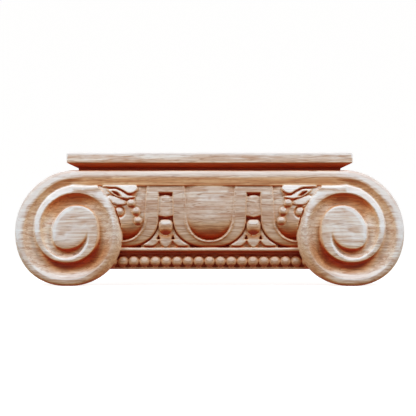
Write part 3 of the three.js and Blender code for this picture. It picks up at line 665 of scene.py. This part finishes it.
def wood():
    """Bare open-grained wood with its length along X, with painted shade in the hollows and painted
    highlights on the edges.
    """
    material = bpy.data.materials.new("bare_oak")
    material.use_nodes = True
    tree = material.node_tree
    tree.nodes.clear()
    new = tree.nodes.new
    link = tree.links.new

    def math_node(kind, a, b=None, clamp=False):
        node = new("ShaderNodeMath")
        node.operation = kind
        node.use_clamp = clamp
        for k, value in enumerate((a, b)):
            if value is None:
                continue
            if isinstance(value, (int, float)):
                node.inputs[k].default_value = value
            else:
                link(value, node.inputs[k])
        return node.outputs[0]

    def mapped(scale, location=(0, 0, 0)):
        node = new("ShaderNodeMapping")
        node.inputs["Scale"].default_value = scale
        node.inputs["Location"].default_value = location
        link(coordinates, node.inputs["Vector"])
        return node.outputs[0]

    def noise(vector, scale, detail=3, rough=0.55, distortion=0.0):
        node = new("ShaderNodeTexNoise")
        node.inputs["Scale"].default_value = scale
        node.inputs["Detail"].default_value = detail
        node.inputs["Roughness"].default_value = rough
        node.inputs["Distortion"].default_value = distortion
        link(vector, node.inputs["Vector"])
        return node.outputs["Fac"]

    def ramp_node(value, stops):
        node = new("ShaderNodeValToRGB")
        elements = node.color_ramp.elements
        elements[0].position, elements[0].color = stops[0][0], (*stops[0][1], 1)
        elements[1].position, elements[1].color = stops[-1][0], (*stops[-1][1], 1)
        for position, colour in stops[1:-1]:
            elements.new(position).color = (*colour, 1)
        link(value, node.inputs["Fac"])
        return node.outputs["Color"]

    def mix(kind, factor, a, b):
        node = new("ShaderNodeMix")
        node.data_type = "RGBA"
        node.blend_type = kind
        for k, value in ((0, factor), (6, a), (7, b)):
            if isinstance(value, (int, float)):
                node.inputs[k].default_value = value
            elif isinstance(value, tuple):
                node.inputs[k].default_value = (*value, 1)
            else:
                link(value, node.inputs[k])
        return node.outputs[2]

    def grey(value):
        return (value, value, value)

    texture_place = new("ShaderNodeTexCoord")
    coordinates = texture_place.outputs["Object"]

    # Long grain fades where the wood is cut across its length
    parts = new("ShaderNodeSeparateXYZ")
    link(texture_place.outputs["Normal"], parts.inputs[0])
    along = math_node("SUBTRACT", 1.0, math_node("MULTIPLY", parts.outputs[0], parts.outputs[0]), True)

    # Growth rings that wander along the length
    wander = noise(mapped((9, 40, 40)), 1.0, 2)
    ring_place = new("ShaderNodeVectorMath")
    ring_place.operation = "MULTIPLY_ADD"
    offset = new("ShaderNodeCombineXYZ")
    link(math_node("MULTIPLY", math_node("SUBTRACT", wander, 0.5), 0.022), offset.inputs["Z"])
    ring_place.inputs[1].default_value = (1, 1, 1)
    link(coordinates, ring_place.inputs[0])
    link(offset.outputs[0], ring_place.inputs[2])
    ring_map = new("ShaderNodeMapping")
    ring_map.inputs["Scale"].default_value = (6, 260, 520)
    link(ring_place.outputs[0], ring_map.inputs["Vector"])
    rings = noise(ring_map.outputs[0], 1.0, 2, 0.5)
    ring_line = ramp_node(rings, [(0.38, grey(0.0)), (0.5, grey(1.0)), (0.62, grey(0.15))])

    # Fibres and pores, drawn out along X
    fibre = noise(mapped((45, 1500, 1900)), 1.0, 3, 0.6)
    fine = noise(mapped((160, 3200, 4200), (3, 1, 2)), 1.0, 2, 0.5)
    pore_noise = noise(mapped((230, 2700, 3400), (7, 4, 1)), 1.0, 1, 0.4)
    pores = ramp_node(pore_noise, [(0.6, grey(0.0)), (0.7, grey(1.0))])
    patch = noise(mapped((12, 50, 60), (2, 2, 5)), 1.0, 3)
    streak_noise = noise(mapped((26, 300, 400), (5, 2, 8)), 1.0, 2, 0.5, 0.3)
    streaks = ramp_node(streak_noise, [(0.455, grey(0.0)), (0.5, grey(1.0)), (0.545, grey(0.0))])

    comb_noise = noise(mapped((30, 620, 800), (1, 6, 3)), 1.0, 2, 0.5)
    comb = ramp_node(comb_noise, [(0.47, grey(0.0)), (0.57, grey(1.0))])
    fibre_mask = ramp_node(fibre, [(0.35, grey(0.0)), (0.7, grey(1.0))])
    base = mix("MIX", patch, *GROUND)
    for mask, share, colour in ((ring_line, 0.5, RING), (math_node("MULTIPLY", streaks, along), 0.9, STREAK),
                                (math_node("MULTIPLY", comb, along), 0.55, COMB),
                                (fibre_mask, 0.32, FIBRE), (pores, 0.42, PORE)):
        base = mix("MIX", math_node("MULTIPLY", mask, share), base, colour)

    # Painted shade in the hollows and creases, painted highlights on the edges, and a brown film of painted
    # shade
    painted_light_in, clear_in, shade_film_in = (new("ShaderNodeAttribute") for _ in range(3))
    painted_light_in.attribute_name = "painted_light"
    clear_in.attribute_name = "clear"
    shade_film_in.attribute_name = "shade_film"
    # Painted light and shade: the wood is tinted by the light level worked out for each point
    painted_light_level = math_node("MULTIPLY", painted_light_in.outputs["Fac"], 0.8)
    base = mix("MULTIPLY", 1.0, base, ramp_node(painted_light_level, PAINTED_LIGHT_TINT))
    # Painted shade in creases and narrow hollows, from how open each point is to the sky
    crease_shade_stops = [(0.5, (0.45, 0.14, 0.06)), (0.72, (0.85, 0.62, 0.46)), (0.9, grey(1))]
    line = ramp_node(clear_in.outputs["Fac"], crease_shade_stops)
    base = mix("MULTIPLY", 0.4, base, line)
    # Painted highlight: a pale cool tint where the painted light is strongest, on the tops and edges
    highlight_share = ramp_node(painted_light_level, [(0.79, grey(0.0)), (0.84, grey(1.0)), (0.91, grey(1.0)), (0.97, grey(0.6))])
    base = mix("MIX", math_node("MULTIPLY", highlight_share, 0.64), base, HIGHLIGHT_TINT)
    # Painted shade: the brown film multiplied over the wood
    base = mix("MULTIPLY", shade_film_in.outputs["Fac"], base, SHADE_BROWN)

    shader = new("ShaderNodeBsdfPrincipled")
    link(base, shader.inputs["Base Color"])
    rough = math_node("ADD", math_node("MULTIPLY", fibre, 0.2), 0.5, True)
    link(rough, shader.inputs["Roughness"])
    shader.inputs["Specular IOR Level"].default_value = 0.25
    raised_grain = math_node("ADD", math_node("MULTIPLY", fibre, 0.6), math_node("MULTIPLY", fine, 0.35))
    height = math_node("SUBTRACT", raised_grain, math_node("MULTIPLY", pores, 0.8))
    bump = new("ShaderNodeBump")
    bump.inputs["Strength"].default_value = 0.35
    bump.inputs["Distance"].default_value = 0.00025
    link(height, bump.inputs["Height"])
    link(bump.outputs["Normal"], shader.inputs["Normal"])
    output = new("ShaderNodeOutputMaterial")
    link(shader.outputs[0], output.inputs["Surface"])
    return material


mesh.materials.clear()
mesh.materials.append(wood())
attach(carved, "root")
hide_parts("capital")


# Floor and backdrop in one round sweep
def sweep(flat=1.6, bend=0.8, wall=3.2, steps=12, sides=64):
    """A round bowl that is white in the picture and throws no light back."""
    profile = [(0.0, 0.0), (flat, 0.0)]
    for i in range(1, steps + 1):
        a = i / steps * math.pi / 2
        profile.append((flat + bend * math.sin(a), bend * (1 - math.cos(a))))
    profile.append((flat + bend, wall))
    points = [(0, 0, 0)]
    for r, z in profile[1:]:
        turns = [2 * math.pi * k / sides for k in range(sides)]
        points += [(r * math.cos(t), r * math.sin(t), z) for t in turns]
    faces = [(0, 1 + k, 1 + (k + 1) % sides) for k in range(sides)]
    for ring in range(len(profile) - 2):
        a, b = 1 + ring * sides, 1 + (ring + 1) * sides
        for k in range(sides):
            after = (k + 1) % sides
            faces.append((a + k, b + k, b + after, a + after))
    data = bpy.data.meshes.new("floor")
    data.from_pydata(points, [], faces)
    data.shade_smooth()
    obj = bpy.data.objects.new("floor", data)
    bpy.context.scene.collection.objects.link(obj)
    material = bpy.data.materials.new("pale_floor")
    material.use_nodes = True
    shader = material.node_tree.nodes["Principled BSDF"]
    shader.inputs["Base Color"].default_value = (0.6, 0.63, 0.65, 1)
    shader.inputs["Roughness"].default_value = 0.9
    shader.inputs["Specular IOR Level"].default_value = 0.1
    shader.inputs["Emission Color"].default_value = (1, 1, 1, 1)
    shader.inputs["Emission Strength"].default_value = 0.8
    data.materials.append(material)
    obj.visible_diffuse = False


sweep()


def area_light(name, place, target, size, power, colour):
    """A square soft light that points at a target."""
    data = bpy.data.lights.new(name, "AREA")
    data.shape = "SQUARE"
    data.size = size
    data.energy = power
    data.color = colour
    obj = bpy.data.objects.new(name, data)
    obj.location = place
    direction = Vector(target) - Vector(place)
    obj.rotation_euler = direction.to_track_quat("-Z", "Y").to_euler()
    bpy.context.scene.collection.objects.link(obj)


for side, name in ((-1, "key_left"), (1, "key_right")):
    area_light(name, (side * 0.26, -0.19, 0.31), (side * 0.02, -0.01, 0.035), 0.12, 1.06, (0.97, 0.99, 1.0))
world = bpy.data.worlds.new("studio")
world.use_nodes = True
world.node_tree.nodes["Background"].inputs["Color"].default_value = (1.0, 0.93, 0.88, 1)
world.node_tree.nodes["Background"].inputs["Strength"].default_value = 0.31
bpy.context.scene.world = world
bpy.context.scene.view_settings.view_transform = "Standard"

# Camera straight in front, with a view 226 mm wide at 900 mm
CAMERA_PLACE = (-0.00087, -0.9126, 0.0425)
HALF_VIEW, VIEW_AT = 113.0, 900
camera_data = bpy.data.cameras.new("camera")
camera_data.sensor_width = 36
camera_data.sensor_fit = "HORIZONTAL"
camera_data.lens = 18 * VIEW_AT / HALF_VIEW
camera_data.clip_start = 0.01
camera_data.clip_end = 10
camera = bpy.data.objects.new("camera", camera_data)
camera.location = CAMERA_PLACE
camera.rotation_euler = (math.pi / 2, 0, 0)
bpy.context.scene.collection.objects.link(camera)
bpy.context.scene.camera = camera
